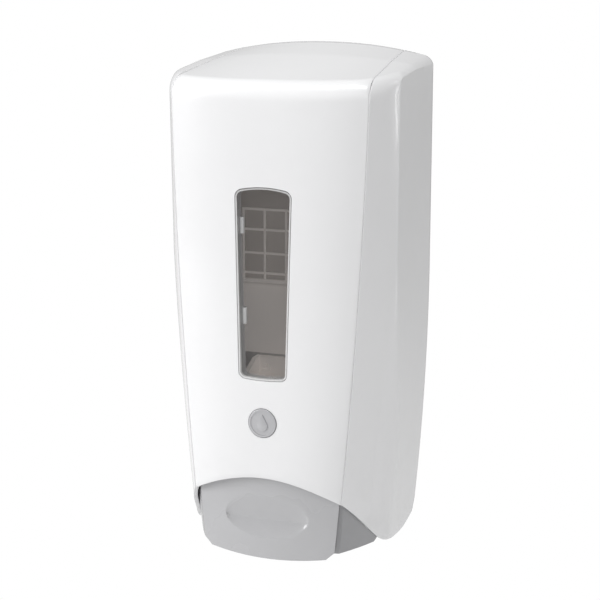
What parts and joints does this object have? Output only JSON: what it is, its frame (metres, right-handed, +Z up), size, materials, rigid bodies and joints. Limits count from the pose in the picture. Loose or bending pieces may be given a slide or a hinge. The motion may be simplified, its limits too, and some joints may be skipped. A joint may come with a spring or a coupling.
{
  "type": "wall mounted soap dispenser",
  "caption": "Wall mounted soap dispenser: tapered white cover with a tall window, hinged at the bottom, and a grey push lever that drives a sprung pump carriage.",
  "frame": {"origin": "middle of the four wall screws, on the wall", "axes": "+Z up, +Y into the wall, front faces -Y, +X to the viewer's right"},
  "size_m": [0.148, 0.1099, 0.3159],
  "materials": {
    "cover_white": "gloss",
    "lever_grey": "satin gloss",
    "lever_dark": "satin gloss",
    "abs_grey": "fine matte",
    "interior_grey": "matte",
    "smoky_lens": "clear smoky",
    "badge_silver": "satin",
    "lock_grey": "matte",
    "roller_white": "waxy",
    "carriage_white": "fine matte",
    "zinc_steel": "zinc plated",
    "steel": "ground",
    "spring_steel": "drawn wire"
  },
  "bodies": {
    "wall_unit": {"back_plate": "abs_grey", "refill_backrest": "interior_grey", "refill_cradle": "abs_grey", "cradle_screws": "zinc_steel", "guide_rods": "steel", "rod_bracket": "abs_grey", "cover_hinge_pins": "steel", "lock_housing": "abs_grey", "lock_screws": "zinc_steel"},
    "lock": {"lock_bolt": "lock_grey"},
    "cover": {"front_panel": "cover_white", "left_side_panel": "cover_white", "right_side_panel": "cover_white", "window_lens": "smoky_lens", "window_retainer": "cover_white", "badge_plate": "badge_silver", "cover_frame": "abs_grey", "front_panel_screws": "zinc_steel", "side_panel_screws": "zinc_steel", "lever_hinge_pins": "steel"},
    "lever": {"push_lever": "lever_grey", "lever_core": "lever_dark", "lever_screws": "zinc_steel", "drive_rollers": "roller_white", "roller_pins": "steel"},
    "carriage": {"pump_carriage": "carriage_white", "carriage_springs": "spring_steel"}
  },
  "joints": [
    {"name": "cover_swing", "type": "hinge", "parent": "wall_unit", "child": "cover", "pos_m": [0, -0.008, -0.1465], "axis": [1, 0, 0], "range_deg": [0, 75]},
    {"name": "lever_swing", "type": "hinge", "parent": "cover", "child": "lever", "pos_m": [0, -0.084, -0.092], "axis": [1, 0, 0], "range_deg": [0, 14], "stiffness_Nm_per_rad": 0.8, "springref_deg": -9.74},
    {"name": "carriage_slide", "type": "slide", "parent": "wall_unit", "child": "carriage", "axis": [0, 0, 1], "range_m": [0, 0.0118], "deforming": ["carriage_springs"]},
    {"name": "lock_slide", "type": "slide", "parent": "wall_unit", "child": "lock", "axis": [0, 0, 1], "range_m": [0, 0.006]}
  ],
  "couplings": [
    {"joint": "carriage_slide", "follows": "lever_swing", "m_per_rad": 0.047}
  ]
}
